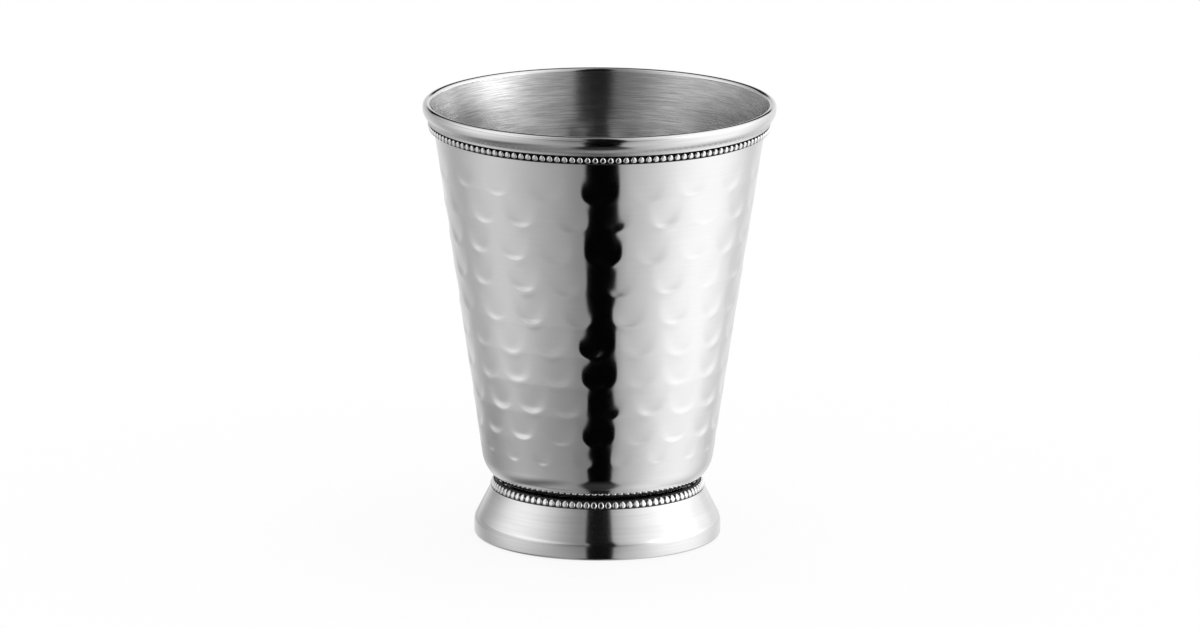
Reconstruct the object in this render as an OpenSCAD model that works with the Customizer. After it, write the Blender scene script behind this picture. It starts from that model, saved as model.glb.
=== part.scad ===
// Footed julep cup of polished sheet metal: a drawn bowl with a flared edge, a lip band that caps
// the edge, a beaded ring under the band, and a hollow spun foot with its own beaded ring.
// Millimetres, +Z up. The origin is the centre of the circle that the foot stands on.

/* [Cup] */
// Overall height, from the table to the top of the lip
cup_h = 111.1; // [104:0.1:118]
// Widest diameter, across the lip
rim_d = 88.9; // [86:0.1:92]
// Height of the seat on the foot that carries the bowl
foot_h = 13.3; // [11.5:0.1:15.5]

/* [Bowl] */
// Thickness of the bowl's sheet
wall_t = 0.7; // [0.5:0.05:0.9]
// Lean of the wall, outwards from the vertical, in degrees
wall_lean = 8.45; // [7.5:0.05:9.3]
// Outer radius of the corner between wall and bottom
corner_r = 8.5; // [7.5:0.1:9.5]
// Radius of the flare that opens the wall under the lip
flare_r = 60; // [50:1:80]
// Height of the flared part of the wall
flare_h = 9.65; // [8.5:0.05:11]

/* [Lip band] */
// Height of the band, from the top of the lip to the lower edge of its collar
band_h = 5; // [4.8:0.05:5.4]
// Step from the beaded strip out to the collar above it
collar_step = 0.14; // [0.1:0.01:0.25]
// Radius of the lip's round crown
crown_r = 0.95; // [0.85:0.01:1.1]
// Radius of the lip's outer face
face_r = 3.4; // [3:0.1:3.8]
// Depth of the lip's widest place under its top
face_drop = 1.4; // [1.25:0.05:1.55]
// Radius of the hollow curve between the lip's face and the collar
cove_r = 1.2; // [1:0.05:1.4]

/* [Rim beading] */
// Number of beads under the lip band
rim_beads = 140; // [120:1:150]
// Radius of one oval bead across its width
rim_bead_r = 0.64; // [0.58:0.01:0.68]
// Length of the straight middle of one oval bead
rim_bead_mid = 0.34; // [0.25:0.01:0.4]
// Height of the strip that carries the beads
rim_strip_h = 2.05; // [1.9:0.05:2.4]
// Width of the solder fillet under the strip
solder_w = 0.35; // [0.25:0.05:0.4]

/* [Foot] */
// Thickness of the foot's sheet
foot_t = 0.8; // [0.6:0.05:0.9]
// Width by which the skirt flares out, from the ledge to the upright band
skirt_flare = 4.17; // [3.5:0.01:5.5]
// Height of the upright band round the foot's base
band_z = 3.3; // [2.5:0.1:4]
// Radius of the bend from that band into the flared skirt
bend_r = 4; // [3:0.1:5]
// Radius of the bottom edge
hem_r = 0.9; // [0.7:0.01:1.2]
// Width of the rim turned in under the foot
hem_w = 2.9; // [2.4:0.1:3.5]
// Width of the seat under the bowl's flat bottom, round the open middle
seat_w = 5.23; // [4.5:0.01:7]
// Thickness of the braze between seat and bowl
braze_t = 0.2; // [0.1:0.05:0.3]

/* [Foot beading] */
// Number of beads on the foot's shoulder
foot_beads = 92; // [80:1:100]
// Radius of one oval bead across its width
foot_bead_r = 0.66; // [0.6:0.01:0.7]
// Length of the straight middle of one oval bead
foot_bead_mid = 0.5; // [0.4:0.01:0.6]
// Height of the strip that carries the beads
foot_strip_h = 2.1; // [1.9:0.05:2.4]
// Lean of the strip, inwards from the vertical, in degrees
foot_strip_lean = 21; // [16:0.5:26]
// Height of the strip's top above the seat
strip_rise = 1.1; // [0.9:0.05:1.3]
// Open crevice between the strip's top and the bowl's corner
crevice = 0.7; // [0.4:0.05:1]
// Width of the ledge left outside the strip
ledge = 0.15; // [0.1:0.01:0.3]

/* [Hidden] */

// Overrun of every cut, past the face that it opens
over = 1;
// Metal left between the back of a bead and the back of its strip
bead_back = 0.03;
// Depth of a bead's centre line inside the front of its strip
bead_sink = 0.03;
turn_fn = 96;
bead_fn = 24;
arc_steps = 10;

rim_r = rim_d / 2;

// The lip's outer face runs into a round crown, which stands flush over the bowl's edge
face_x = rim_r - face_r;
face_z = cup_h - face_drop;
crown_z = cup_h - crown_r;
crown_x = face_x + sqrt(pow(face_r - crown_r, 2) - pow(crown_z - face_z, 2));
crown_turn = atan2(crown_z - face_z, crown_x - face_x);
edge_z = crown_z;
edge_x = crown_x - crown_r;

// The flare is an arc whose centre lies outside the cup, and the straight wall touches it
flare_z = edge_z - flare_h - flare_r * sin(wall_lean);
flare_x = edge_x + sqrt(pow(flare_r + wall_t, 2) - pow(edge_z - flare_z, 2));

// The corner's arc touches the flat bottom and the straight wall
base_z = foot_h + braze_t;
corner_z = base_z + corner_r;
corner_x = flare_x + ((corner_z - flare_z) * sin(wall_lean) - flare_r - corner_r)
    / cos(wall_lean);
seat_hole_r = corner_x - seat_w;

// Outline of the bowl's wall, upwards from the flat bottom, at a depth inside its outer face
function wall_path(depth) = concat(
    arc([corner_x, corner_z], corner_r - depth, -90, -wall_lean),
    arc([flare_x, flare_z], flare_r + depth, 180 - wall_lean,
        180 - asin((edge_z - flare_z) / (flare_r + depth))));
// Radius of the bowl's outer face at a height
function wall_x(z) = lookup(z, [for (p = wall_path(0)) [p[1], p[0]]]);
// What lies against the bowl follows its outline downwards between two heights
function wall_between(low_z, high_z) = concat(
    [[wall_x(high_z), high_z]],
    [for (p = reversed(wall_path(0))) if (p[1] > low_z && p[1] < high_z) p],
    [[wall_x(low_z), low_z]]);

function arc(centre, r, from, to) = [for (i = [0 : arc_steps])
    let (turn = from + (to - from) * i / arc_steps) centre + r * [cos(turn), sin(turn)]];
function reversed(path) = [for (i = [len(path) - 1 : -1 : 0]) path[i]];

// The rim's beaded strip hangs below the collar and leans with the wall behind it
collar_z = cup_h - band_h;
rim_strip_z = collar_z - rim_strip_h;
rim_bead_z = collar_z - rim_strip_h / 2;
rim_strip_lean = atan2(wall_x(collar_z) - wall_x(rim_strip_z), rim_strip_h);
rim_level_t = (rim_bead_r + bead_back + bead_sink) / cos(rim_strip_lean);
rim_bead_x = wall_x(rim_bead_z) + (rim_bead_r + bead_back) / cos(rim_strip_lean);

// The collar over it stands out by a step, and a hollow curve joins it to the lip's face
collar_x = wall_x(collar_z) + rim_level_t + collar_step;
cove_x = collar_x + cove_r;
cove_z = face_z - sqrt(pow(face_r + cove_r, 2) - pow(cove_x - face_x, 2));
cove_turn = atan2(face_z - cove_z, face_x - cove_x);

// The foot's beaded strip stands on a ledge round the seat, clear of the bowl's corner
strip_top_z = foot_h + strip_rise;
strip_low_z = strip_top_z - foot_strip_h;
foot_bead_z = strip_top_z - foot_strip_h / 2;
function strip_x(z) = wall_x(strip_top_z) + crevice + (strip_top_z - z) * tan(foot_strip_lean);
strip_level_t = (foot_bead_r + bead_back + bead_sink) / cos(foot_strip_lean);
foot_bead_x = strip_x(foot_bead_z) + (foot_bead_r + bead_back) / cos(foot_strip_lean);

// The skirt runs straight from the ledge and touches the bend over the upright band
skirt_x = strip_x(strip_low_z) + strip_level_t + ledge;
foot_r = skirt_x + skirt_flare;
bend_x = foot_r - bend_r;
skirt_turn = atan2(strip_low_z - band_z, skirt_x - bend_x)
    - acos(bend_r / norm([skirt_x - bend_x, strip_low_z - band_z]));
// Radius of the skirt's inner face at a height
function skirt_inner_x(z) = bend_x
    + (bend_r - foot_t - (z - band_z) * sin(skirt_turn)) / cos(skirt_turn);

// One bead: an oval, upright until it is leaned
module oval_bead(r, mid, lean) {
    rotate([0, lean, 0]) {
        translate([0, 0, -mid / 2]) {
            cylinder(h = mid, r = r, $fn = bead_fn);
            sphere(r = r, $fn = bead_fn);
        }
        translate([0, 0, mid / 2]) sphere(r = r, $fn = bead_fn);
    }
}

// A row of beads, none of them on the seam at angle zero
module bead_row(count, x, z, r, mid, lean) {
    for (i = [0 : count - 1])
        rotate([0, 0, (i + 1 / 2) * 360 / count])
        translate([x, 0, z])
        oval_bead(r, mid, lean);
}

module bowl() {
    color([0.80, 0.80, 0.81])
    rotate_extrude($fn = turn_fn)
    polygon(concat([[0, base_z]], wall_path(0), reversed(wall_path(wall_t)),
        [[0, base_z + wall_t]]));
}

module rim_band() {
    color([0.86, 0.86, 0.87])
    rotate_extrude($fn = turn_fn)
    polygon(concat([[collar_x, collar_z]],
        arc([cove_x, cove_z], cove_r, 180, cove_turn),
        arc([face_x, face_z], face_r, cove_turn - 180, crown_turn),
        arc([crown_x, crown_z], crown_r, crown_turn, 180),
        wall_between(collar_z, edge_z)));
}

module rim_bead_ring() {
    color([0.62, 0.62, 0.63]) {
        rotate_extrude($fn = turn_fn)
        polygon(concat([[wall_x(rim_strip_z) + rim_level_t, rim_strip_z],
            [wall_x(collar_z) + rim_level_t, collar_z]],
            wall_between(rim_strip_z, collar_z)));
        bead_row(rim_beads, rim_bead_x, rim_bead_z, rim_bead_r, rim_bead_mid, rim_strip_lean);
    }
}

// Fillet of solder in the corner under the beaded strip
module rim_solder_ring() {
    color([0.55, 0.55, 0.55])
    rotate_extrude($fn = turn_fn)
    polygon(concat([[wall_x(rim_strip_z) + solder_w, rim_strip_z]],
        wall_between(rim_strip_z - solder_w, rim_strip_z)));
}

// A spun shell: the seat, a ledge for the beading, the flared skirt, the upright band and a
// rim turned in underneath
module foot() {
    hem_x = foot_r - hem_w;
    step_z = strip_low_z - foot_t;
    seat_under_x = strip_x(foot_h) - foot_t;
    seat_under_z = foot_h - foot_t;
    color([0.78, 0.78, 0.79])
    rotate_extrude($fn = turn_fn)
    polygon(concat(
        [[seat_hole_r, foot_h], [strip_x(foot_h), foot_h],
            [strip_x(strip_low_z), strip_low_z], [skirt_x, strip_low_z]],
        arc([bend_x, band_z], bend_r, skirt_turn, 0),
        arc([foot_r - hem_r, hem_r], hem_r, 0, -90),
        [[hem_x, 0], [hem_x, foot_t], [foot_r - foot_t, foot_t]],
        arc([bend_x, band_z], bend_r - foot_t, 0, skirt_turn),
        [[skirt_inner_x(step_z), step_z], [seat_under_x, step_z],
            [seat_under_x, seat_under_z], [seat_hole_r, seat_under_z]]));
}

module foot_bead_ring() {
    color([0.62, 0.62, 0.63]) {
        rotate_extrude($fn = turn_fn)
        polygon([[strip_x(strip_low_z), strip_low_z],
            [strip_x(strip_low_z) + strip_level_t, strip_low_z],
            [strip_x(strip_top_z) + strip_level_t, strip_top_z],
            [strip_x(strip_top_z), strip_top_z]]);
        bead_row(foot_beads, foot_bead_x, foot_bead_z, foot_bead_r, foot_bead_mid,
            -foot_strip_lean);
    }
}

// Braze between the seat and the bowl's flat bottom
module foot_braze_ring() {
    color([0.66, 0.62, 0.52])
    translate([0, 0, foot_h])
    difference() {
        cylinder(h = braze_t, r = corner_x, $fn = turn_fn);
        translate([0, 0, -over]) cylinder(h = braze_t + 2 * over, r = seat_hole_r, $fn = turn_fn);
    }
}

bowl();
rim_band();
rim_bead_ring();
rim_solder_ring();
foot();
foot_bead_ring();
foot_braze_ring();
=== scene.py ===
"""Looks of a footed, hammered julep cup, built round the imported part.

Metres, +Z up. The origin is the centre of the circle that the foot stands on, and -Y faces the
camera. Each section is drawn with the part's own sizes, at finer steps.
"""

import logging
import math
from dataclasses import dataclass
from enum import Enum

import bpy
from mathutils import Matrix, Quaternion, Vector

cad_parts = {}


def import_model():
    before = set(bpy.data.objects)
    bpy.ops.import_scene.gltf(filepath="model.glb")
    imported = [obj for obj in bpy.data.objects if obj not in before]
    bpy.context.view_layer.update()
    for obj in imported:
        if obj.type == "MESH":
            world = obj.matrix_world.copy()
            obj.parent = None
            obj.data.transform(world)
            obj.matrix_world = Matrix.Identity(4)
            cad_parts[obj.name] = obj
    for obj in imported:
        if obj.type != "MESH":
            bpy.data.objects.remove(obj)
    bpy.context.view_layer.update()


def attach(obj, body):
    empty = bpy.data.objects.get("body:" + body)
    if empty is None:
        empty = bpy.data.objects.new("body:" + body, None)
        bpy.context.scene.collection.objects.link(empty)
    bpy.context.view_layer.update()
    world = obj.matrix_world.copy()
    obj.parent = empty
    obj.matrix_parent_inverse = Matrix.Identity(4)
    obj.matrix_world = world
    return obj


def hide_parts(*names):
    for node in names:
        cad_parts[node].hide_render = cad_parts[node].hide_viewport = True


LOG = logging.getLogger("julep_cup")
MM = 0.001
BRIGHTEST = 4.0
SHARP_ANGLE = math.radians(32)
Point = tuple[float, float]
Outline = list[Point]
Colour = tuple[float, float, float]
Piece = bpy.types.Object
Finish = bpy.types.Material
Socket = bpy.types.NodeSocket
Value = float | Socket
INPUT_KINDS = {int: "NodeSocketInt", float: "NodeSocketFloat", Finish: "NodeSocketMaterial"}


class Side(Enum):
    """Which face of the sheet a strip of mesh belongs to."""

    OUTSIDE = 0
    INSIDE = 1


@dataclass(frozen=True)
class Arc:
    """A round part of a section, in the plane of radius and height."""

    centre: Point
    radius: float
    start: float
    end: float
    fewest: int = 4

    def points(self, step: float) -> Outline:
        """Points along the arc.

        Args:
            step: Longest distance between two points, in metres.

        Returns:
            The points from start to end, both included.
        """
        length = abs(self.end - self.start) * self.radius
        count = max(self.fewest, math.ceil(length / step))
        return [self.at(self.start + (self.end - self.start) * i / count)
                for i in range(count + 1)]

    def at(self, turn: float) -> Point:
        """The point of the arc's circle at an angle."""
        return (self.centre[0] + self.radius * math.cos(turn),
                self.centre[1] + self.radius * math.sin(turn))


def line(start: Point, end: Point, step: float) -> Outline:
    """Points along a straight part of a section.

    Args:
        start: First point.
        end: Last point.
        step: Longest distance between two points, in metres.

    Returns:
        The points from start to end, both included.
    """
    count = max(1, math.ceil(math.dist(start, end) / step))
    return [(start[0] + (end[0] - start[0]) * i / count,
             start[1] + (end[1] - start[1]) * i / count) for i in range(count + 1)]


def joined(*paths: Outline) -> Outline:
    """Paths joined end to end, without the points that meet.

    Args:
        paths: The paths, in order.

    Returns:
        One path.
    """
    same = 1e-7
    made: Outline = []
    for path in paths:
        for point in path:
            if not made or math.dist(made[-1], point) > same:
                made.append(point)
    return made


@dataclass(frozen=True)
class Cup:
    """The cup's own sizes, as in the part, and the places that follow from them."""

    height: float = 111.1 * MM
    rim_r: float = 44.45 * MM
    seat_z: float = 13.3 * MM
    sheet: float = 0.7 * MM
    lean: float = math.radians(8.45)
    corner_r: float = 8.5 * MM
    flare_r: float = 60 * MM
    flare_h: float = 9.65 * MM
    crown_r: float = 0.95 * MM
    face_r: float = 3.4 * MM
    face_drop: float = 1.4 * MM
    band_h: float = 5 * MM
    braze: float = 0.2 * MM
    inset: float = 0.02 * MM

    @property
    def face(self) -> Point:
        """Centre of the lip's outer face."""
        return (self.rim_r - self.face_r, self.height - self.face_drop)

    @property
    def crown(self) -> Point:
        """Centre of the lip's round crown.

        Returns:
            Its radius and height.
        """
        z = self.height - self.crown_r
        gap = self.face_r - self.crown_r
        return (self.face[0] + math.sqrt(gap ** 2 - (z - self.face[1]) ** 2), z)

    @property
    def flare(self) -> Point:
        """Centre of the arc that opens the wall under the lip.

        Returns:
            Its radius and height.
        """
        z = self.crown[1] - self.flare_h - self.flare_r * math.sin(self.lean)
        x = self.crown[0] - self.crown_r
        return (x + math.sqrt((self.flare_r + self.sheet) ** 2 - (self.crown[1] - z) ** 2), z)

    @property
    def corner(self) -> Point:
        """Centre of the round corner between wall and bottom.

        Returns:
            Its radius and height.
        """
        z = self.seat_z + self.braze + self.corner_r
        run = (z - self.flare[1]) * math.sin(self.lean) - self.flare_r - self.corner_r
        return (self.flare[0] + run / math.cos(self.lean), z)

    def wall(self, depth: float, step: float, levels: list[float]) -> Outline:
        """The wall's outline, upwards from the flat bottom.

        Args:
            depth: Distance inside the outer face.
            step: Step along the corner and the flare.
            levels: Heights at which the straight wall gets a point.

        Returns:
            The outline from the bottom's edge to the mouth.
        """
        corner = Arc(self.corner, self.corner_r - depth, -math.pi / 2, -self.lean)
        radius = self.flare_r + depth
        top = math.pi - math.asin((self.crown[1] - self.flare[1]) / radius)
        flare = Arc(self.flare, radius, math.pi - self.lean, top)
        low, high = corner.at(corner.end), flare.at(flare.start)
        slope = (high[0] - low[0]) / (high[1] - low[1])
        clear = 0.1 * MM
        straight = [(low[0] + (z - low[1]) * slope, z) for z in levels
                    if low[1] + clear < z < high[1] - clear]
        return joined(corner.points(step), straight, flare.points(step))

    def wall_x(self, z: float) -> float:
        """Radius of the bowl's outer face at a height.

        Args:
            z: The height.

        Returns:
            The radius.
        """
        path = self.wall(0, 0.2 * MM, [])
        for (x0, z0), (x1, z1) in zip(path, path[1:]):
            if z0 <= z <= z1:
                return x0 + (x1 - x0) * (z - z0) / (z1 - z0)
        return path[-1][0]

    def wall_between(self, low: float, high: float, count: int) -> Outline:
        """What lies against the bowl follows its outline, downwards between two heights."""
        heights = [high + (low - high) * i / count for i in range(count + 1)]
        return [(self.wall_x(z), z) for z in heights]


class Graph:
    """Adds nodes to one node tree and joins them."""

    def __init__(self, tree: bpy.types.NodeTree) -> None:
        """Keeps the tree that the nodes go into."""
        self.tree = tree

    def node(self, kind: str, wires: dict | None = None, **settings: object) -> bpy.types.Node:
        """Adds one node.

        Args:
            kind: The node's type name.
            wires: A value or a socket for each named or numbered input.
            settings: The node's own properties.

        Returns:
            The node.
        """
        made = self.tree.nodes.new(kind)
        for name, value in settings.items():
            setattr(made, name, value)
        for name, value in (wires or {}).items():
            socket = made.inputs[name]
            if isinstance(value, Socket):
                self.tree.links.new(value, socket)
            else:
                socket.default_value = value
        return made

    def math(self, operation: str, *values: Value) -> Socket:
        """One sum on numbers.

        Args:
            operation: The Math node's operation.
            values: Numbers or sockets.

        Returns:
            The result's socket.
        """
        return self.node("ShaderNodeMath", dict(enumerate(values)),
                         operation=operation).outputs[0]

    def chain(self, operation: str, values: tuple[Value, ...]) -> Socket:
        """Joins two or more values by one operation, from the left.

        Args:
            operation: The Math node's operation.
            values: Numbers or sockets.

        Returns:
            The result's socket.
        """
        made = values[0]
        for value in values[1:]:
            made = self.math(operation, made, value)
        return made

    def add(self, *values: Value) -> Socket:
        """The sum of two or more values."""
        return self.chain("ADD", values)

    def times(self, *values: Value) -> Socket:
        """The product of two or more values."""
        return self.chain("MULTIPLY", values)

    def less(self, first: Value, second: Value) -> Socket:
        """The first value less the second."""
        return self.math("SUBTRACT", first, second)

    def over(self, first: Value, second: Value) -> Socket:
        """The first value divided by the second."""
        return self.math("DIVIDE", first, second)

    def hump(self, square: Socket) -> Socket:
        """One less a squared distance, and never below zero."""
        return self.math("MAXIMUM", self.less(1.0, square), 0.0)

    def parts(self, vector: Socket) -> tuple[Socket, Socket, Socket]:
        """The three parts of a vector."""
        split = self.node("ShaderNodeSeparateXYZ", {0: vector})
        return split.outputs[0], split.outputs[1], split.outputs[2]

    def vector(self, x: Value, y: Value, z: Value) -> Socket:
        """A vector made of three parts."""
        return self.node("ShaderNodeCombineXYZ", {0: x, 1: y, 2: z}).outputs[0]

    def grey(self, level: Socket) -> Socket:
        """A grey of a given level."""
        return self.node("ShaderNodeCombineColor", {0: level, 1: level, 2: level}).outputs[0]

    def from_axis(self, x: Socket, y: Socket) -> Socket:
        """Distance from the cup's axis."""
        return self.math("SQRT", self.add(self.times(x, x), self.times(y, y)))

    def from_front(self, x: Socket, y: Socket) -> Socket:
        """Angle round the axis from the camera's side, in radians."""
        return self.math("ARCTAN2", x, self.times(y, -1.0))

    def remap(self, value: Value, low: float, high: float, to_low: float = 0.0,
              to_high: float = 1.0, smooth: bool = False) -> Socket:
        """Maps a range of a value onto another range, clamped.

        Args:
            value: The value.
            low: Start of its range.
            high: End of its range.
            to_low: Result at the start.
            to_high: Result at the end.
            smooth: Whether the ends are eased.

        Returns:
            The result's socket.
        """
        kind = "SMOOTHSTEP" if smooth else "LINEAR"
        made = self.node("ShaderNodeMapRange", {"Value": value, "From Min": low,
                         "From Max": high, "To Min": to_low, "To Max": to_high},
                         interpolation_type=kind)
        return made.outputs["Result"]

    def ease(self, value: Value, low: float, high: float, to_low: float = 0.0,
             to_high: float = 1.0) -> Socket:
        """Maps a range as remap does, with its ends eased."""
        return self.remap(value, low, high, to_low, to_high, True)

    def blend(self, share: Value, first: Value, second: Value) -> Socket:
        """Runs from the first number to the second as the share goes from 0 to 1."""
        return self.node("ShaderNodeMix", {0: share, 2: first, 3: second},
                         data_type="FLOAT").outputs[0]

    def stations(self, turn: Socket, stops: tuple[Point, ...]) -> Socket:
        """A smooth curve through a few chosen stations round the cup.

        Args:
            turn: Degrees from the camera's side, from -180 to 180.
            stops: A turn, and the brightness there, up to BRIGHTEST.

        Returns:
            The brightness.
        """
        ramp = self.node("ShaderNodeValToRGB", {0: self.remap(turn, -180, 180)})
        ramp.color_ramp.interpolation = "B_SPLINE"
        points = ramp.color_ramp.elements
        while len(points) < len(stops):
            points.new(1)
        for point, (place, bright) in zip(points, stops):
            level = bright / BRIGHTEST
            point.position = (place + 180) / 360
            point.color = (level, level, level, 1)
        return self.times(ramp.outputs["Color"], BRIGHTEST)


def turned(name: str, outlines: list[tuple[Outline, Side]], count: int) -> Piece:
    """A mesh turned round the cup's axis.

    Args:
        name: The piece's name.
        outlines: Open outlines that meet end to end, each with the side it shows. They run so
            that the metal lies on their left.
        count: Number of steps round the axis.

    Returns:
        The object, at the origin, with a UV map that runs round the axis.
    """
    verts: list[tuple[float, float, float]] = []
    faces: list[tuple[int, ...]] = []
    corners: Outline = []
    sides: list[float] = []
    rings: dict[tuple[int, int], list[int]] = {}
    rows_per_metre = 10

    def ring(point: Point) -> list[int]:
        """The vertices of one outline point, made once.

        Args:
            point: Its radius and height.

        Returns:
            The vertices' numbers, with the first one again at the end.
        """
        key = (round(point[0] * 1e8), round(point[1] * 1e8))
        if key not in rings:
            start = len(verts)
            if point[0] < 1e-9:
                verts.append((0.0, 0.0, point[1]))
                rings[key] = [start] * (count + 1)
            else:
                for i in range(count):
                    turn = 2 * math.pi * i / count
                    verts.append((point[0] * math.cos(turn), point[0] * math.sin(turn),
                                  point[1]))
                rings[key] = [start + i for i in range(count)] + [start]
        return rings[key]

    along = 0.0
    for path, side in outlines:
        for low, high in zip(path, path[1:]):
            a, b = ring(low), ring(high)
            step = math.dist(low, high)
            for i in range(count):
                loop = [(a[i], i, 0), (a[i + 1], i + 1, 0), (b[i + 1], i + 1, 1), (b[i], i, 1)]
                used: list[tuple[int, int, int]] = []
                for item in loop:
                    if item[0] not in [u[0] for u in used]:
                        used.append(item)
                faces.append(tuple(u[0] for u in used))
                corners.extend((u[1] / count, (along + u[2] * step) * rows_per_metre)
                               for u in used)
                sides.append(float(side.value))
            along += step
    mesh = bpy.data.meshes.new(name)
    mesh.from_pydata(verts, [], faces)
    layer = mesh.uv_layers.new(name="round_axis")
    layer.data.foreach_set("uv", [value for corner in corners for value in corner])
    lining = mesh.attributes.new("lining", "FLOAT", "FACE")
    lining.data.foreach_set("value", sides)
    mesh.polygons.foreach_set("use_smooth", [True] * len(faces))
    mesh.set_sharp_from_angle(angle=SHARP_ANGLE)
    mesh.update()
    made = bpy.data.objects.new(name, mesh)
    bpy.context.scene.collection.objects.link(made)
    return made


class NodeShape:
    """A Geometry Nodes tree with named inputs, put on a piece and then made plain mesh."""

    def __init__(self, name: str, values: dict[str, int | float | Finish]) -> None:
        """Starts the tree.

        Args:
            name: The tree's name.
            values: Each input's name, and its value on the piece.
        """
        self.tree = bpy.data.node_groups.new(name, "GeometryNodeTree")
        face = self.tree.interface
        for way in ("INPUT", "OUTPUT"):
            face.new_socket(name="Geometry", in_out=way, socket_type="NodeSocketGeometry")
        self.values: dict[str, int | float | Finish] = {}
        for label, value in values.items():
            socket = face.new_socket(name=label, in_out="INPUT",
                                     socket_type=INPUT_KINDS[type(value)])
            self.values[socket.identifier] = value
        self.graph = Graph(self.tree)
        self.start = self.graph.node("NodeGroupInput")

    def value(self, label: str) -> Socket:
        """The socket of one named input."""
        return self.start.outputs[label]

    def apply(self, geometry: Socket, piece: Piece) -> None:
        """Ends the tree, runs it on a piece and leaves a plain mesh.

        Args:
            geometry: The finished geometry.
            piece: The object whose mesh goes in and comes out.
        """
        self.graph.node("NodeGroupOutput", {"Geometry": geometry})
        added = piece.modifiers.new(self.tree.name, "NODES")
        added.node_group = self.tree
        for identifier, value in self.values.items():
            added[identifier] = value
        bpy.context.view_layer.update()
        graph = bpy.context.evaluated_depsgraph_get()
        made = bpy.data.meshes.new_from_object(piece.evaluated_get(graph),
                                               preserve_all_data_layers=True, depsgraph=graph)
        piece.modifiers.clear()
        made.name = piece.name
        piece.data = made


@dataclass(frozen=True)
class Metal:
    """A bare metal finish with fine marks that run round the axis."""

    name: str
    colour: Colour = (0.86, 0.86, 0.865)
    roughness: float = 0.08
    patchy: float = 0.02
    patches: float = 45.0
    streak: float = 0.05
    streak_range: Point = (0.3, 0.75)
    length: float = 22 * MM
    pitch: float = 0.45 * MM
    flat_share: float = 0.8
    dull_z: float = 0.0
    dull_run: float = 0.9 * MM
    dull: float = 0.36
    # Share by which the colour darkens below dull_z: painted shade in the lip band's hollow above
    # the beads.
    recess_shade: float = 0.0
    depth: float = 0.0
    anisotropy: float = 0.0
    # A dark colour that the finish runs to towards a bead's foot, by its share and over its
    # height: painted shade where the bead meets its strip.
    dark: Colour = (0.5, 0.5, 0.51)
    painted_shade_share: float = 0.0
    painted_shade_height: float = 0.32

    def material(self) -> Finish:
        """The finish as a material.

        Returns:
            A material that reads the piece's Object coordinates and its UV map.
        """
        made = bpy.data.materials.new(self.name)
        made.use_nodes = True
        graph = Graph(made.node_tree)
        made.node_tree.nodes.clear()
        place = graph.node("ShaderNodeTexCoord").outputs["Object"]
        x, y, z = graph.parts(place)
        climb = graph.add(z, graph.times(graph.from_axis(x, y), self.flat_share))
        ringed = graph.vector(graph.times(x, 1 / self.length), graph.times(y, 1 / self.length),
                              graph.times(climb, 1 / self.pitch))
        fine = graph.node("ShaderNodeTexNoise", {"Vector": ringed, "Scale": 1.0,
                          "Detail": 4.0, "Roughness": 0.62}).outputs["Fac"]
        broad = graph.node("ShaderNodeTexNoise", {"Vector": place, "Scale": self.patches,
                           "Detail": 3.0}).outputs["Fac"]
        tone = graph.remap(fine, *self.streak_range, 1 - self.streak, 1 + self.streak)
        rough = graph.add(self.roughness - self.patchy, graph.times(broad, 2 * self.patchy))
        # Below dull_z the finish is rougher and its colour darker: painted shade in the hollow
        # above the beads.
        if self.dull_z:
            share = graph.ease(z, self.dull_z, self.dull_z + self.dull_run, 1, 0)
            rough = graph.blend(share, rough, self.dull)
            tone = graph.times(tone, graph.blend(share, 1.0, 1 - self.recess_shade))
        wires = {"Base Color": self.tint(graph, tone), "Roughness": rough, "Metallic": 1.0}
        if self.depth:
            wires["Normal"] = graph.node("ShaderNodeBump", {
                "Height": fine, "Distance": self.depth, "Strength": 1.0}).outputs["Normal"]
        if self.anisotropy:
            quarter_turn = 0.25
            wires["Anisotropic"] = self.anisotropy
            wires["Anisotropic Rotation"] = quarter_turn
            wires["Tangent"] = graph.node("ShaderNodeTangent", direction_type="UV_MAP",
                                          uv_map="round_axis").outputs[0]
        shader = graph.node("ShaderNodeBsdfPrincipled", wires)
        graph.node("ShaderNodeOutputMaterial", {"Surface": shader.outputs[0]})
        return made

    def tint(self, graph: Graph, tone: Socket) -> Socket:
        """The base colour, streaked, with painted shade at a bead's foot where the finish says
        so.

        Args:
            graph: The material's nodes.
            tone: The streaks' tone.

        Returns:
            The colour's socket.
        """
        # Painted shade: the colour runs to the dark one towards the bead's foot, where it meets
        # its strip.
        share: Value = self.painted_shade_share
        if self.painted_shade_share:
            proud = graph.node("ShaderNodeAttribute", attribute_name="proud").outputs["Fac"]
            share = graph.ease(proud, 0.0, self.painted_shade_height, self.painted_shade_share, 0.0)
        base = graph.node("ShaderNodeMix", {"Factor": share, "A": (*self.colour, 1),
                          "B": (*self.dark, 1)}, data_type="RGBA").outputs[2]
        return graph.node("ShaderNodeMix", {"Factor": 1.0, "A": base, "B": graph.grey(tone)},
                          data_type="RGBA", blend_type="MULTIPLY").outputs[2]


WALL = Metal("polished_steel_wall", roughness=0.085, streak=0.015, depth=0.0006 * MM)
# The lining's colour sits well below the wall's steel to darken the inside of the bowl: painted
# shade.
LINING = Metal("brushed_steel_lining", colour=(0.59, 0.59, 0.595), roughness=0.26, patchy=0.03,
               streak=0.34, length=7 * MM, pitch=0.24 * MM, depth=0.004 * MM, anisotropy=0.98)
LIP = Metal("polished_steel_lip", roughness=0.11, patchy=0.03, streak=0.04,
            depth=0.0015 * MM, dull_z=107.5 * MM, recess_shade=0.12)
# The beads' colour sits above the wall's steel, which is painted light; their dark share is
# painted shade at each bead's foot.
BEAD = Metal("polished_steel_beads", colour=(0.93, 0.93, 0.935), roughness=0.1,
             dark=(0.05, 0.05, 0.05), painted_shade_share=0.95)
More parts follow.
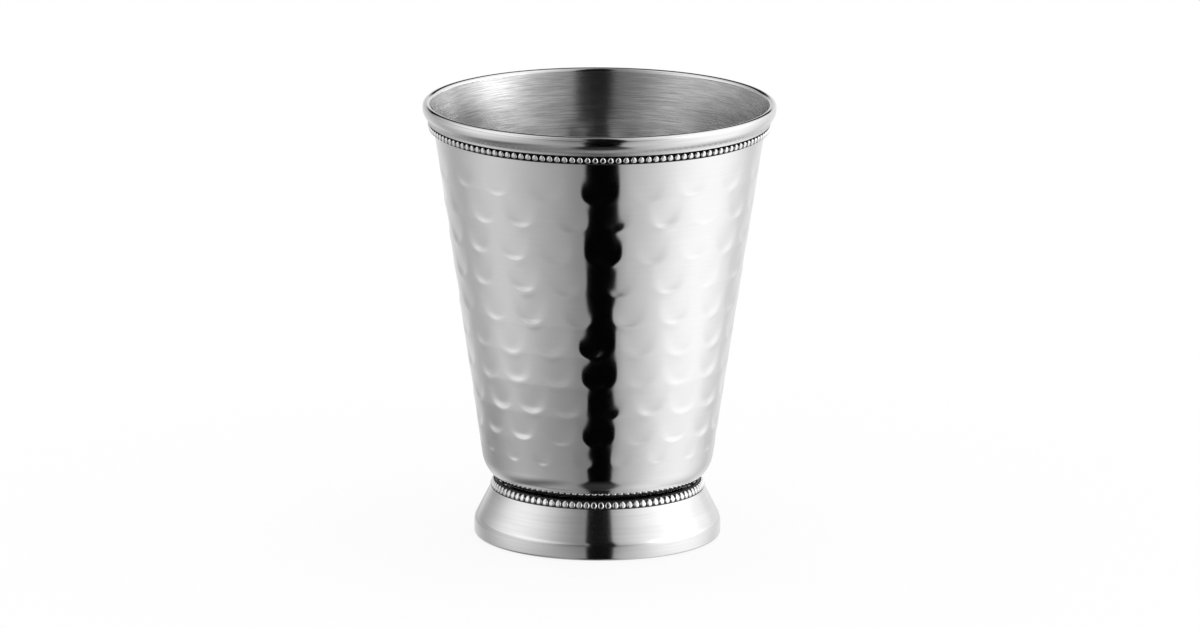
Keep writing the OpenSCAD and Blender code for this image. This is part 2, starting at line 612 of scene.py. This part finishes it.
# Near black: painted shade on the strip between and around the rim's beads.
GROOVE = Metal("groove_painted_shade", colour=(0.035, 0.034, 0.034), roughness=0.45, patchy=0.1,
               streak=0.3)
# Near black: painted contact shadow under the rim's beaded strip.
SOLDER = Metal("dull_solder_painted_shadow", colour=(0.12, 0.12, 0.12), roughness=0.5, patchy=0.1, streak=0.2)
SATIN = Metal("satin_steel_foot", colour=(0.87, 0.87, 0.875), roughness=0.15, patchy=0.03,
              depth=0.002 * MM, anisotropy=0.8)
# The foot's beads: the dark share is painted shade at each bead's foot, where it meets its strip.
FOOT_BEAD = Metal("foot_beads_painted_shade", colour=(0.9, 0.9, 0.905), roughness=0.13,
                  dark=(0.16, 0.16, 0.16), painted_shade_share=0.8)
# Near black: painted shade in the crevice under the bowl and between the foot's beads.
FOOT_GROOVE = Metal("foot_groove_painted_shade", colour=(0.07, 0.07, 0.07), roughness=0.4, patchy=0.1,
                    streak=0.3)
BRAZE = Metal("dull_braze", colour=(0.5, 0.45, 0.34), roughness=0.5, patchy=0.1, streak=0.15)


@dataclass(frozen=True)
class MarkRow:
    """One row of hammer marks round the wall, in millimetres and degrees."""

    lip: float
    count: int
    turn: float
    reach: float = 8.2
    width: float = 5.4
    depth: float = 1.0


@dataclass(frozen=True)
class Bowl:
    """The drawn bowl: a hammered wall, polished outside and brushed inside."""

    cup: Cup
    depth: float = 0.33 * MM
    facet: float = 0.045 * MM
    curl: float = 0.085
    rise: float = 1.95
    gape: float = 0.2
    cut: float = 2.2
    fade: float = 1.25
    ridge: float = 0.17
    ridge_place: Point = (0.85, 0.6)
    light: float = 0.5
    light_from: Point = (3.5, 5.6)
    light_to: Point = (19, 27)
    loose: float = 0.08
    stray_drop: float = 6.0
    stray_width: float = 2.0
    stray_size: float = 2.4
    seed: int = 7
    steps: int = 384
    fine_from: float = 1.3
    fine_to: float = 2.3
    fine_step: float = 0.34 * MM
    plain_step: float = 0.85 * MM
    rows: tuple[MarkRow, ...] = (
        MarkRow(93.7, 19, -1.0, reach=6.6, depth=0.8),
        MarkRow(86.0, 20, 7.0),
        MarkRow(77.6, 20, 2.7),
        MarkRow(69.1, 18, 8.7),
        MarkRow(60.9, 18, -8.3),
        MarkRow(52.8, 19, -1.2),
        MarkRow(44.9, 19, 0.7),
        MarkRow(36.9, 19, 5.8, reach=7.6),
        MarkRow(29.5, 19, 0.6, reach=7.2, width=5.0),
        MarkRow(23.8, 19, -7.4, reach=5.0, width=3.2, depth=0.6),
    )

    def build(self) -> Piece:
        """Makes and dresses the bowl.

        Returns:
            The hammered bowl.
        """
        plain = [z * MM for z in range(20, 101, 2)]
        outer = self.face(0.0, 0.8 * MM, self.levels())
        inner = self.face(self.cup.sheet, 1.4 * MM, plain)
        edge = [outer[-1], inner[-1]]
        outlines = [(outer, Side.OUTSIDE), (edge, Side.OUTSIDE), (inner[::-1], Side.INSIDE)]
        made = turned("hammered_bowl", outlines, self.steps)
        self.hammer(made)
        return made

    def face(self, depth: float, step: float, levels: list[float]) -> Outline:
        """One face of the sheet, from the middle of the bottom to the mouth.

        Args:
            depth: Distance inside the outer face.
            step: Step along the corner and the flare.
            levels: Heights at which the straight wall gets a point.

        Returns:
            The outline.
        """
        z = self.cup.seat_z + self.cup.braze + depth
        bottom = line((6 * MM, z), (self.cup.corner[0], z), 5 * MM)
        return joined([(0.0, z)], bottom, self.cup.wall(depth, step, levels))

    def levels(self) -> list[float]:
        """Heights of the outer wall's points, close together at the lips of the marks.

        Returns:
            The heights, upwards.
        """
        made = [20 * MM]
        while made[-1] < 101 * MM:
            near = any(-self.fine_from < made[-1] / MM - row.lip < self.fine_to
                       for row in self.rows)
            made.append(made[-1] + (self.fine_step if near else self.plain_step))
        return made

    def hammer(self, piece: Piece) -> None:
        """Presses the rows of marks into the wall.

        Args:
            piece: The smooth bowl.
        """
        shape = NodeShape("hammered wall", {
            "Mark depth": self.depth, "Facet depth": self.facet, "Looseness": self.loose,
            "Lean": self.cup.lean, "Seed": self.seed, "Outside": WALL.material(),
            "Inside": LINING.material()})
        graph = shape.graph
        x, y, z = graph.parts(graph.node("GeometryNodeInputPosition").outputs[0])
        radius = graph.from_axis(x, y)
        turn = graph.from_front(x, y)
        depth = graph.add(*[self.row_depth(shape, i, row, turn, radius, z)
                            for i, row in enumerate(self.rows)])
        level = graph.over(graph.times(depth, graph.math("COSINE", shape.value("Lean"))),
                           graph.math("MAXIMUM", radius, 1e-5))
        push = graph.vector(graph.times(x, level, -1.0), graph.times(y, level, -1.0),
                            graph.times(depth, graph.math("SINE", shape.value("Lean"))))
        moved = graph.node("GeometryNodeSetPosition", {
            "Geometry": shape.start.outputs["Geometry"], "Offset": push})
        real = graph.node("GeometryNodeRealizeInstances", {0: moved.outputs[0]})
        outside = graph.node("GeometryNodeSetMaterial", {
            "Geometry": real.outputs[0], "Material": shape.value("Outside")})
        lining = graph.node("GeometryNodeInputNamedAttribute", {"Name": "lining"},
                            data_type="FLOAT").outputs["Attribute"]
        inside = graph.node("GeometryNodeSetMaterial", {
            "Geometry": outside.outputs[0], "Material": shape.value("Inside"),
            "Selection": graph.math("GREATER_THAN", lining, 0.5)})
        shape.apply(inside.outputs[0], piece)

    def row_depth(self, shape: NodeShape, number: int, row: MarkRow, turn: Socket,
                  radius: Socket, z: Socket) -> Socket:
        """Depth of one row's marks at each place of the wall.

        Args:
            shape: The tree that the row belongs to.
            number: The row's number, from the top.
            row: The row.
            turn: Angle round the axis from the camera's side.
            radius: Distance from the axis.
            z: Height.

        Returns:
            The depth, zero away from the row.
        """
        graph = shape.graph
        step = 2 * math.pi / row.count
        start = math.radians(row.turn)
        shifted = graph.less(turn, start)
        column = graph.math("ROUND", graph.over(shifted, step))
        mark = graph.add(graph.math("FLOORED_MODULO", column, float(row.count)),
                         100.0 * number)

        def stray(salt: int) -> Socket:
            """A number that belongs to the mark, from minus to plus the looseness.

            Args:
                salt: Tells the mark's numbers apart.

            Returns:
                The number.
            """
            seed = graph.add(shape.value("Seed"), float(salt))
            made = graph.node("FunctionNodeRandomValue", {"ID": mark, "Seed": seed},
                              data_type="FLOAT")
            made.inputs[2].default_value = -1.0
            made.inputs[3].default_value = 1.0
            return graph.times(made.outputs[1], shape.value("Looseness"))

        centre = graph.add(column, stray(0))
        across = graph.times(graph.math("MULTIPLY_ADD", centre, -step, shifted),
                             graph.over(radius, MM))
        height = graph.less(graph.over(z, MM), row.lip)
        drop = graph.times(stray(1), self.stray_drop)
        square = graph.times(across, across)
        above = graph.less(graph.less(height, drop), graph.times(square, self.curl))
        wide = graph.math("MULTIPLY_ADD", stray(2), self.stray_width, row.width)
        side = graph.hump(graph.over(square, graph.times(wide, wide)))
        side = graph.times(side, side)
        run = graph.math("MULTIPLY_ADD", square, self.gape, self.rise)
        rest = graph.remap(graph.over(above, run), 0, 1, 1, 0)
        cut = graph.less(1.0, graph.math("POWER", rest, self.cut))
        tail = graph.math("POWER", graph.remap(above, 0, row.reach, 1, 0), self.fade)
        body = graph.times(cut, tail, side)
        place = graph.math("MULTIPLY_ADD", above, *self.ridge_place)
        ridge = graph.hump(graph.times(place, place))
        ridge = graph.times(ridge, ridge, graph.math("POWER", side, 2.0))
        size = graph.math("MULTIPLY_ADD", stray(3), self.stray_size, 1.0)
        struck = self.strength(graph, graph.math("MULTIPLY_ADD", column, step, start))
        full = graph.times(graph.times(shape.value("Mark depth"), row.depth),
                           graph.times(size, struck))
        dent = graph.times(full, graph.math("MULTIPLY_ADD", ridge, -self.ridge, body))
        middle = graph.less(graph.over(height, row.reach / 2), 1.0)
        belt = graph.hump(graph.times(middle, middle))
        return graph.math("MULTIPLY_ADD", graph.times(belt, row.depth),
                          shape.value("Facet depth"), dent)

    def strength(self, graph: Graph, middle: Socket) -> Socket:
        """How hard a mark was struck.

        Args:
            graph: The tree that the mark belongs to.
            middle: The mark's angle from the camera's side.

        Returns:
            A share of the full depth, lower beside the front line.
        """
        off = graph.times(graph.math("ABSOLUTE", middle), 180 / math.pi)
        hard = graph.ease(off, *self.light_from, 1.0, self.light)
        return graph.math("MAXIMUM", hard, graph.ease(off, *self.light_to, self.light, 1.0))


@dataclass(frozen=True)
class BeadRow:
    """A row of oval beads that stands round a strip."""

    count: int
    ring_r: float
    z: float
    proud: float
    half_width: float
    half_height: float
    lean: float
    taper: float = -0.3
    dome: float = 6.0

    def build(self, name: str, strip: Piece, bead: Metal, groove: Metal) -> Piece:
        """Sets the beads on their strip.

        Args:
            name: Name of the node tree.
            strip: The strip's own mesh, which the beads join.
            bead: The beads' finish.
            groove: The strip's finish.

        Returns:
            The strip with its beads, as one plain mesh.
        """
        shape = NodeShape(name, {
            "Beads": self.count, "Ring radius": self.ring_r, "Height": self.z,
            "Proud": self.proud, "Half width": self.half_width,
            "Half height": self.half_height, "Lean": self.lean, "Taper": self.taper,
            "Bead": bead.material(), "Groove": groove.material()})
        graph = shape.graph
        index = graph.node("GeometryNodeInputIndex").outputs[0]
        turn = graph.over(graph.times(graph.add(index, 0.5), 2 * math.pi),
                          shape.value("Beads"))
        place = graph.vector(*(graph.times(graph.math(way, turn), shape.value("Ring radius"))
                               for way in ("COSINE", "SINE")), shape.value("Height"))
        points = graph.node("GeometryNodePoints", {"Count": shape.value("Beads"),
                            "Position": place})
        dressed = graph.node("GeometryNodeSetMaterial", {
            "Geometry": self.oval(shape), "Material": shape.value("Bead")})
        angles = graph.vector(0.0, shape.value("Lean"), turn)
        rotation = graph.node("FunctionNodeEulerToRotation", {0: angles})
        row = graph.node("GeometryNodeInstanceOnPoints", {
            "Points": points.outputs[0], "Instance": dressed.outputs[0],
            "Rotation": rotation.outputs[0]})
        strip_dressed = graph.node("GeometryNodeSetMaterial", {
            "Geometry": shape.start.outputs["Geometry"], "Material": shape.value("Groove")})
        both = graph.node("GeometryNodeJoinGeometry")
        graph.tree.links.new(row.outputs[0], both.inputs[0])
        graph.tree.links.new(strip_dressed.outputs[0], both.inputs[0])
        real = graph.node("GeometryNodeRealizeInstances", {0: both.outputs[0]})
        shape.apply(real.outputs[0], strip)
        return strip

    def oval(self, shape: NodeShape) -> Socket:
        """One bead: a ball with a flatter face, a narrower top and its three sizes.

        Args:
            shape: The tree that the bead belongs to.

        Returns:
            The bead's geometry, facing +X.
        """
        graph = shape.graph
        ball = graph.node("GeometryNodeMeshUVSphere", {"Segments": 12, "Rings": 6,
                          "Radius": 1.0})
        front = graph.node("GeometryNodeTransform", {"Geometry": ball.outputs[0],
                           "Rotation": (0.0, math.pi / 2, 0.0)})
        smooth = graph.node("GeometryNodeSetShadeSmooth", {0: front.outputs[0]})
        proud, y, z = graph.parts(graph.node("GeometryNodeInputPosition").outputs[0])
        out = graph.hump(graph.times(proud, proud))
        flat = graph.math("SQRT", graph.less(1.0, graph.math("POWER", out, self.dome)))
        shift = graph.vector(graph.less(graph.times(graph.math("SIGN", proud), flat), proud),
                             graph.times(y, z, shape.value("Taper")), 0.0)
        marked = graph.node("GeometryNodeStoreNamedAttribute", {
            "Geometry": smooth.outputs[0], "Name": "proud", "Value": proud},
            data_type="FLOAT", domain="POINT")
        domed = graph.node("GeometryNodeSetPosition", {"Geometry": marked.outputs[0],
                           "Offset": shift})
        size = graph.vector(shape.value("Proud"), shape.value("Half width"),
                            shape.value("Half height"))
        return graph.node("GeometryNodeTransform", {"Geometry": domed.outputs[0],
                          "Scale": size}).outputs[0]


@dataclass(frozen=True)
class Rim:
    """The lip band, the beaded strip under it and the fillet of solder below."""

    cup: Cup
    collar_step: float = 0.14 * MM
    cove_r: float = 1.2 * MM
    beads: int = 140
    bead_r: float = 0.64 * MM
    bead_mid: float = 0.34 * MM
    bead_w: float = 0.77 * MM
    bead_out: float = 0.48 * MM
    bead_shift: float = 0.03 * MM
    strip_h: float = 2.05 * MM
    back: float = 0.06 * MM
    groove: float = 0.22 * MM
    solder_w: float = 0.35 * MM
    steps: int = 320

    @property
    def collar_z(self) -> float:
        """Height of the collar's lower edge."""
        return self.cup.height - self.cup.band_h

    @property
    def strip_z(self) -> float:
        """Height of the strip's lower edge."""
        return self.collar_z - self.strip_h

    @property
    def lean(self) -> float:
        """Lean of the beaded strip."""
        cup = self.cup
        return math.atan2(cup.wall_x(self.collar_z) - cup.wall_x(self.strip_z), self.strip_h)

    @property
    def thick(self) -> float:
        """Level thickness of the beaded strip."""
        return (self.bead_r + self.back) / math.cos(self.lean)

    def band(self) -> Piece:
        """The lip band: a round crown, a face, a hollow curve and an upright collar.

        Returns:
            The band.
        """
        cup = self.cup
        collar_x = cup.wall_x(self.collar_z) + self.thick + self.collar_step
        cove_x = collar_x + self.cove_r
        reach = cup.face_r + self.cove_r
        cove = (cove_x, cup.face[1] - math.sqrt(reach ** 2 - (cove_x - cup.face[0]) ** 2))
        cove_turn = math.atan2(cup.face[1] - cove[1], cup.face[0] - cove[0])
        crown_turn = math.atan2(cup.crown[1] - cup.face[1], cup.crown[0] - cup.face[0])
        step = 0.16 * MM
        inset = cup.inset
        path = joined(
            [(collar_x, self.collar_z)],
            Arc(cove, self.cove_r + inset, math.pi, cove_turn).points(step),
            Arc(cup.face, cup.face_r - inset, cove_turn - math.pi, crown_turn).points(step),
            Arc(cup.crown, cup.crown_r - inset, crown_turn, math.pi).points(step),
            cup.wall_between(self.collar_z, cup.crown[1], 8),
            [(collar_x, self.collar_z)])
        return turned("lip_band", [(path, Side.OUTSIDE)], self.steps)

    def bead_ring(self) -> Piece:
        """The strip under the band, with its row of beads.

        Returns:
            The strip and the beads as one piece.
        """
        cup = self.cup
        low = (cup.wall_x(self.strip_z) + self.thick, self.strip_z)
        high = (cup.wall_x(self.collar_z) + self.thick, self.collar_z)
        middle = line((low[0] - self.groove, low[1] + self.groove),
                      (high[0] - self.groove, high[1] - self.groove), 1 * MM)
        path = joined([low], middle, [high],
                      cup.wall_between(self.strip_z, self.collar_z, 4), [low])
        strip = turned("rim_beading", [(path, Side.OUTSIDE)], self.steps)
        z = self.collar_z - self.strip_h / 2
        ring_r = cup.wall_x(z) + (self.bead_r + self.bead_shift) / math.cos(self.lean)
        row = BeadRow(self.beads, ring_r, z, self.bead_out, self.bead_w,
                      self.bead_r + self.bead_mid / 2, self.lean)
        return row.build("rim bead row", strip, BEAD, GROOVE)

    def solder(self) -> Piece:
        """The fillet of solder in the corner under the strip.

        Returns:
            The fillet.
        """
        edge = (self.cup.wall_x(self.strip_z) + self.solder_w, self.strip_z)
        path = joined([edge], self.cup.wall_between(self.strip_z - self.solder_w,
                                                    self.strip_z, 4), [edge])
        return turned("solder_fillet", [(path, Side.OUTSIDE)], self.steps)


@dataclass(frozen=True)
class Foot:
    """The hollow spun foot, its beaded strip and the braze that holds the bowl."""

    cup: Cup
    sheet: float = 0.8 * MM
    flare: float = 4.17 * MM
    band_z: float = 3.3 * MM
    bend_r: float = 4 * MM
    hem_r: float = 0.9 * MM
    hem_w: float = 2.9 * MM
    seat_w: float = 5.23 * MM
    beads: int = 92
    bead_r: float = 0.66 * MM
    bead_mid: float = 0.5 * MM
    bead_w: float = 0.8 * MM
    bead_out: float = 0.44 * MM
    bead_shift: float = 0.03 * MM
    bead_drop: float = 0.08 * MM
    bead_more: float = 0.05 * MM
    strip_h: float = 2.1 * MM
    lean: float = math.radians(21)
    rise: float = 1.1 * MM
    crevice: float = 0.7 * MM
    ledge: float = 0.15 * MM
    back: float = 0.06 * MM
    groove: float = 0.2 * MM
    steps: int = 320

    @property
    def top_z(self) -> float:
        """Height of the strip's top."""
        return self.cup.seat_z + self.rise

    @property
    def low_z(self) -> float:
        """Height of the ledge that the strip stands on."""
        return self.top_z - self.strip_h

    @property
    def thick(self) -> float:
        """Level thickness of the beaded strip."""
        return (self.bead_r + self.back) / math.cos(self.lean)

    @property
    def hole(self) -> float:
        """Radius of the hole inside the seat."""
        return self.cup.corner[0] - self.seat_w

    def strip_x(self, z: float) -> float:
        """Radius of the back of the beaded strip at a height."""
        return (self.cup.wall_x(self.top_z) + self.crevice
                + (self.top_z - z) * math.tan(self.lean))

    def shell(self) -> Piece:
        """The spun shell: seat, ledge, flared skirt, upright band and turned-in rim.

        Returns:
            The shell.
        """
        skirt_x = self.strip_x(self.low_z) + self.thick + self.ledge
        foot_r = skirt_x + self.flare
        bend = (foot_r - self.bend_r, self.band_z)
        across = (skirt_x - bend[0], self.low_z - self.band_z)
        turn = math.atan2(across[1], across[0]) - math.acos(self.bend_r / math.hypot(*across))
        inner_z = self.low_z - self.sheet
        inner_x = bend[0] + (self.bend_r - self.sheet - (inner_z - self.band_z)
                             * math.sin(turn)) / math.cos(turn)
        seat_x = self.strip_x(self.cup.seat_z)
        under = self.cup.seat_z - self.sheet
        step = 0.3 * MM
        floor = self.cup.inset
        outer = Arc(bend, self.bend_r - floor, turn, 0)
        hem = Arc((foot_r - self.hem_r, self.hem_r), self.hem_r - floor, 0, -math.pi / 2)
        inner = Arc(bend, self.bend_r - self.sheet, 0, turn)
        hem_x = foot_r - self.hem_w
        path = joined(
            [(hem_x, floor)],
            hem.points(step)[::-1],
            outer.points(step)[::-1],
            line(outer.at(turn), (skirt_x, self.low_z), 1 * MM),
            [(self.strip_x(self.low_z), self.low_z), (seat_x, self.cup.seat_z),
             (self.hole, self.cup.seat_z), (self.hole, under), (seat_x - self.sheet, under),
             (seat_x - self.sheet, inner_z), (inner_x, inner_z)],
            inner.points(step)[::-1],
            [(foot_r - self.sheet, self.sheet), (hem_x, self.sheet), (hem_x, floor)])
        return turned("foot_shell", [(path, Side.OUTSIDE)], self.steps)

    def bead_ring(self) -> Piece:
        """The beaded strip on the foot's shoulder.

        Returns:
            The strip and the beads as one piece.
        """
        low_x, high_x = self.strip_x(self.low_z), self.strip_x(self.top_z)
        low = (low_x + self.thick, self.low_z)
        high = (high_x + self.thick, self.top_z)
        path = joined([low, (high[0] - self.groove, high[1] - self.groove), high],
                      [(high_x, self.top_z), (low_x, self.low_z), low])
        strip = turned("foot_beading", [(path, Side.OUTSIDE)], self.steps)
        z = self.top_z - self.strip_h / 2 - self.bead_drop
        ring_r = self.strip_x(z) + (self.bead_r + self.bead_shift) / math.cos(self.lean)
        row = BeadRow(self.beads, ring_r, z, self.bead_out, self.bead_w,
                      self.bead_r + self.bead_mid / 2 + self.bead_more, -self.lean)
        return row.build("foot bead row", strip, FOOT_BEAD, FOOT_GROOVE)

    def braze_ring(self) -> Piece:
        """The braze between the seat and the bowl's flat bottom.

        Returns:
            The braze.
        """
        low, high = self.cup.seat_z, self.cup.seat_z + self.cup.braze
        path = [(self.hole, low), (self.cup.corner[0], low), (self.cup.corner[0], high),
                (self.hole, high), (self.hole, low)]
        return turned("braze_ring", [(path, Side.OUTSIDE)], self.steps)


@dataclass(frozen=True)
class Belt:
    """The tent's brightness round one height, at a few turns from the camera's side.

    It takes over from the belt below between two heights in degrees, start and full.
    """

    start: float
    full: float
    stops: tuple[Point, ...]


@dataclass(frozen=True)
class Studio:
    """Camera, floor and what the polished metal sees round it."""

    distance: float = 2.78
    elevation: float = math.radians(12.75)
    aim: tuple[float, float, float] = (0.4 * MM, 0.0, 56.5 * MM)
    roll: float = math.radians(0.3)
    lens: float = 331.0
    low: tuple[Point, ...] = (
        (-180, 0.75), (-156, 0.72), (-134, 0.39), (-114, 0.48), (-90, 0.68), (-68, 0.56),
        (-46, 0.42), (-28, 0.36), (-14, 0.22), (14, 0.32), (24, 0.5), (44, 0.66), (62, 0.92),
        (84, 1.08), (108, 1.06), (130, 0.76), (144, 0.62), (156, 0.8), (180, 0.75))
    belts: tuple[Belt, ...] = (
        Belt(-24, -6, (
            (-180, 0.9), (-154, 0.64), (-130, 0.4), (-110, 0.66), (-92, 0.92), (-70, 0.85),
            (-50, 0.58), (-34, 0.36), (-14, 0.2), (14, 0.24), (26, 0.48), (38, 0.66),
            (52, 0.96), (68, 1.14), (92, 1.16), (116, 1.05), (136, 0.8), (158, 0.84),
            (180, 0.9))),
        Belt(-3, 3, (
            (-180, 0.85), (-158, 0.55), (-140, 0.36), (-124, 0.34), (-104, 0.5), (-84, 0.64),
            (-66, 0.73), (-50, 0.55), (-34, 0.18), (-14, 0.04), (14, 0.04), (26, 0.22),
            (38, 0.42), (50, 0.85), (64, 1.3), (84, 2.1), (100, 1.9), (116, 1.1), (136, 0.8),
            (158, 0.8), (180, 0.85))),
        Belt(6, 9, (
            (-180, 0.7), (-150, 0.5), (-130, 0.38), (-110, 0.8), (-88, 1.05), (-66, 1.15),
            (-46, 0.85), (-28, 0.38), (-14, 0.2), (14, 0.3), (24, 0.5), (38, 0.72), (54, 1.2),
            (70, 3.4), (86, 3.4), (102, 1.2), (124, 1.05), (150, 0.86), (180, 0.7))),
        Belt(17, 27, (
            (-180, 0.5), (-150, 0.5), (-130, 0.42), (-110, 0.85), (-88, 1.02), (-66, 0.8),
            (-46, 0.48), (-28, 0.28), (-14, 0.2), (14, 0.36), (24, 0.5), (38, 0.7),
            (54, 0.96), (72, 1.1), (104, 1.1), (124, 1.02), (150, 0.8), (180, 0.5))))
    slit_turn: float = 2.3
    slit_half: float = 12.7
    slit_edge: float = 1.3
    slit_light: float = 0.003
    soft_light: float = 0.9
    floor_half: float = 6.0
    floor_shadow: float = 0.2

    def camera(self) -> None:
        """Sets the camera at the photograph's viewing angle."""
        lens = bpy.data.cameras.new("camera")
        lens.lens = self.lens
        lens.sensor_width = 36.0
        lens.clip_start = 0.05
        lens.clip_end = 50.0
        made = bpy.data.objects.new("camera", lens)
        back = Vector((0, -math.cos(self.elevation), math.sin(self.elevation)))
        made.location = Vector(self.aim) + back * self.distance
        made.rotation_mode = "QUATERNION"
        made.rotation_quaternion = ((-back).to_track_quat("-Z", "Y")
                                    @ Quaternion((0, 0, 1), self.roll))
        bpy.context.scene.collection.objects.link(made)
        bpy.context.scene.camera = made

    def tent(self, graph: Graph, x: Socket, turn: Socket, rise: Socket) -> Socket:
        """Brightness of the tent, belt by belt, dimmer overhead and under the table's left.

        Args:
            graph: The world's nodes.
            x: The direction's part to the right.
            turn: Degrees round the axis from the camera's side.
            rise: Degrees above the level.

        Returns:
            The brightness.
        """
        table = graph.add(graph.ease(x, -0.7, -0.3, 0.2, 0.78), graph.ease(x, 0.2, 0.6, 0, 0.08))
        table = graph.times(table, graph.ease(rise, -74, -58, 0.75, 1))
        steep = graph.blend(graph.ease(rise, -52, -30), table, 1.04)
        bright = graph.times(graph.stations(turn, self.low), steep)
        for belt in self.belts:
            bright = graph.blend(graph.ease(rise, belt.start, belt.full), bright,
                                 graph.stations(turn, belt.stops))
        return graph.times(bright, graph.ease(rise, 58, 80, 1, 0.5))

    def slit(self, graph: Graph, turn: Socket, rise: Socket) -> Socket:
        """The dark slit on the camera's side, and a dark patch opposite.

        Args:
            graph: The world's nodes.
            turn: Degrees round the axis from the camera's side.
            rise: Degrees above the level.

        Returns:
            The share of the tent that shows, from 0 in the slit to 1.
        """
        centre = graph.add(graph.ease(rise, -8, 1, 0, 2.8),
                           graph.ease(rise, 12, 36, self.slit_turn, -1.0))
        off = graph.math("ABSOLUTE", graph.less(turn, centre))
        half = graph.add(graph.ease(rise, -60, -36, self.slit_half + 14, self.slit_half),
                         graph.ease(rise, 12, 36, 0, 1.6))
        edge = graph.ease(rise, -60, -36, 10, self.slit_edge)
        front = graph.ease(graph.over(graph.less(off, half), edge), -1, 1)
        below = graph.ease(rise, -36, -58, 0, 0.16)
        back = graph.times(graph.ease(off, 180 - 34, 180 - 26),
                           graph.times(graph.ease(rise, 13, 17), graph.ease(rise, 62, 74, 1, 0)))
        return graph.times(graph.math("MAXIMUM", front, below), graph.less(1.0, back))

    def surround(self) -> None:
        """What lights the metal: a bright tent with a dark slit towards the camera."""
        world = bpy.data.worlds.new("studio")
        bpy.context.scene.world = world
        world.use_nodes = True
        world.node_tree.nodes.clear()
        graph = Graph(world.node_tree)
        x, y, z = graph.parts(graph.node("ShaderNodeTexCoord").outputs["Generated"])
        degrees = 180 / math.pi
        turn = graph.times(graph.from_front(x, y), degrees)
        rise = graph.times(graph.math("ARCSINE", z), degrees)
        shown = graph.math("MULTIPLY_ADD", self.slit(graph, turn, rise), 1 - self.slit_light,
                           self.slit_light)
        metal = graph.times(self.tent(graph, x, turn, rise), shown)
        path = graph.node("ShaderNodeLightPath")
        seen = graph.add(graph.times(path.outputs["Is Glossy Ray"],
                                     graph.less(metal, self.soft_light)), self.soft_light)
        final = graph.add(graph.times(path.outputs["Is Camera Ray"], graph.less(1.0, seen)), seen)
        light = graph.node("ShaderNodeBackground", {"Color": (1, 1, 1, 1), "Strength": final})
        graph.node("ShaderNodeOutputWorld", {"Surface": light.outputs[0]})

    def floor(self) -> None:
        """A plain white floor, which keeps a faint shadow, and painted shade near the foot where
        the metal sees it.
        """
        half = self.floor_half
        mesh = bpy.data.meshes.new("floor")
        mesh.from_pydata([(-half, -half, 0), (half, -half, 0), (half, half, 0),
                          (-half, half, 0)], [], [(0, 1, 2, 3)])
        made = bpy.data.objects.new("floor", mesh)
        bpy.context.scene.collection.objects.link(made)
        mesh.materials.append(self.floor_finish())

    def floor_finish(self) -> Finish:
        """The floor's white, as the camera, the metal and the soft light see it.

        Returns:
            The material, clear from below.
        """
        paint = bpy.data.materials.new("white_floor")
        paint.use_nodes = True
        paint.node_tree.nodes.clear()
        graph = Graph(paint.node_tree)
        shadow = self.floor_shadow
        plain = graph.node("ShaderNodeBsdfDiffuse", {"Color": (shadow, shadow, shadow, 1)})
        glow = graph.node("ShaderNodeEmission", {"Color": (1, 1, 1, 1),
                          "Strength": 1 - shadow * self.soft_light})
        white = graph.node("ShaderNodeAddShader", {0: plain.outputs[0], 1: glow.outputs[0]})
        bounce = graph.node("ShaderNodeBsdfDiffuse", {"Color": (0.8, 0.8, 0.8, 1)})
        place = graph.node("ShaderNodeTexCoord").outputs["Object"]
        length = graph.node("ShaderNodeVectorMath", {0: place}, operation="LENGTH").outputs[1]
        # Painted shade on the floor as the metal sees it: darker in a ring near the foot, and
        # more towards the left.
        near = graph.times(graph.ease(length, 40 * MM, 66 * MM, 0.35, 1),
                           graph.ease(length, 75 * MM, 150 * MM, 1, 0))
        sideways = graph.ease(graph.parts(place)[0], -80 * MM, 60 * MM, 0.32, 0.1)
        tint = graph.grey(graph.less(1.0, graph.times(near, sideways)))
        through = graph.node("ShaderNodeBsdfTransparent", {"Color": tint})
        path = graph.node("ShaderNodeLightPath")
        seen = graph.node("ShaderNodeMixShader", {0: path.outputs["Is Camera Ray"],
                          1: bounce.outputs[0], 2: white.outputs[0]})
        shiny = graph.node("ShaderNodeMixShader", {0: path.outputs["Is Glossy Ray"],
                           1: seen.outputs[0], 2: through.outputs[0]})
        under = graph.node("ShaderNodeNewGeometry").outputs["Backfacing"]
        clear = graph.node("ShaderNodeBsdfTransparent")
        both = graph.node("ShaderNodeMixShader", {0: under, 1: shiny.outputs[0],
                          2: clear.outputs[0]})
        graph.node("ShaderNodeOutputMaterial", {"Surface": both.outputs[0]})
        return paint

    def build(self) -> None:
        """Makes the studio and sets the plain view transform."""
        self.camera()
        self.surround()
        self.floor()
        bpy.context.scene.view_settings.view_transform = "Standard"


def dress(piece: Piece, node: str, finish: Metal | None = None) -> None:
    """Puts a piece in the place of its node.

    Args:
        piece: The finished piece.
        node: The node of the part that it stands for.
        finish: Its finish, unless the piece has its materials already.
    """
    if finish:
        piece.data.materials.clear()
        piece.data.materials.append(finish.material())
    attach(piece, "root")
    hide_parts(node)
    LOG.info("%s: %d faces", piece.name, len(piece.data.polygons))


def corners(box: tuple[Vector, Vector]) -> list[list[float]]:
    """A box as plain lists of numbers."""
    return [list(box[0]), list(box[1])]


def main() -> None:
    """Builds the cup and its studio, piece by piece."""
    logging.basicConfig(level=logging.INFO, format="%(name)s %(message)s")
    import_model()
    cup = Cup()
    dress(Bowl(cup).build(), "bowl")
    rim = Rim(cup)
    dress(rim.band(), "rim_band", LIP)
    dress(rim.bead_ring(), "rim_bead_ring")
    dress(rim.solder(), "rim_solder_ring", SOLDER)
    foot = Foot(cup)
    dress(foot.shell(), "foot", SATIN)
    dress(foot.bead_ring(), "foot_bead_ring")
    dress(foot.braze_ring(), "foot_braze_ring", BRAZE)
    Studio().build()


if __name__ == "__main__":
    main()
